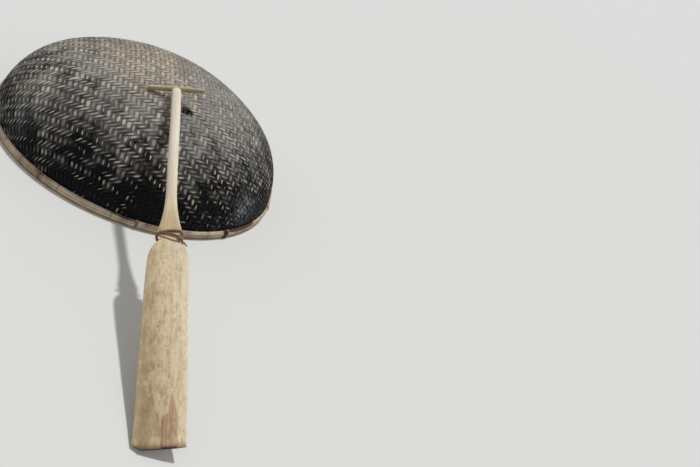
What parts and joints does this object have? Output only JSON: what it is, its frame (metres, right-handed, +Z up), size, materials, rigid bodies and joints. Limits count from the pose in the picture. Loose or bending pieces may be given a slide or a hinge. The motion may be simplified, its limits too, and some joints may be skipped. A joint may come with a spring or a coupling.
{
  "type": "round basket coracle",
  "caption": "Round woven bamboo coracle stored upside down on its rim, with lashed split bamboo gunwale, inside ribs and a T-grip paddle leaning on the hull.",
  "frame": {"origin": "on the hull's axis, in the plane of the rim's flat underside, which rests on the ground", "axes": "+Z up through the crown of the upturned hull, -Y towards the paddle's blade, +X to the right of someone who looks along +Y"},
  "size_m": [1.5868, 2.803, 0.6034],
  "materials": {
    "tarred_weave": "tarred split bamboo weave, worn to tan on its crests",
    "split_bamboo": "weathered split bamboo",
    "lashing_cord": "weathered brown cord",
    "paddle_wood": "bare weathered light wood"
  },
  "bodies": {
    "root": {"woven_hull": "tarred_weave", "rim_cap": "split_bamboo", "outer_gunwale_hoop": "split_bamboo", "inner_gunwale_hoop": "split_bamboo", "gunwale_lashings": "lashing_cord", "rim_binding": "lashing_cord", "long_rib_1": "split_bamboo", "long_rib_2": "split_bamboo", "long_rib_3": "split_bamboo", "cross_rib_1": "split_bamboo", "cross_rib_2": "split_bamboo", "cross_rib_3": "split_bamboo", "paddle": "paddle_wood", "paddle_grip": "paddle_wood", "paddle_neck_lashing": "lashing_cord"}
  },
  "joints": []
}
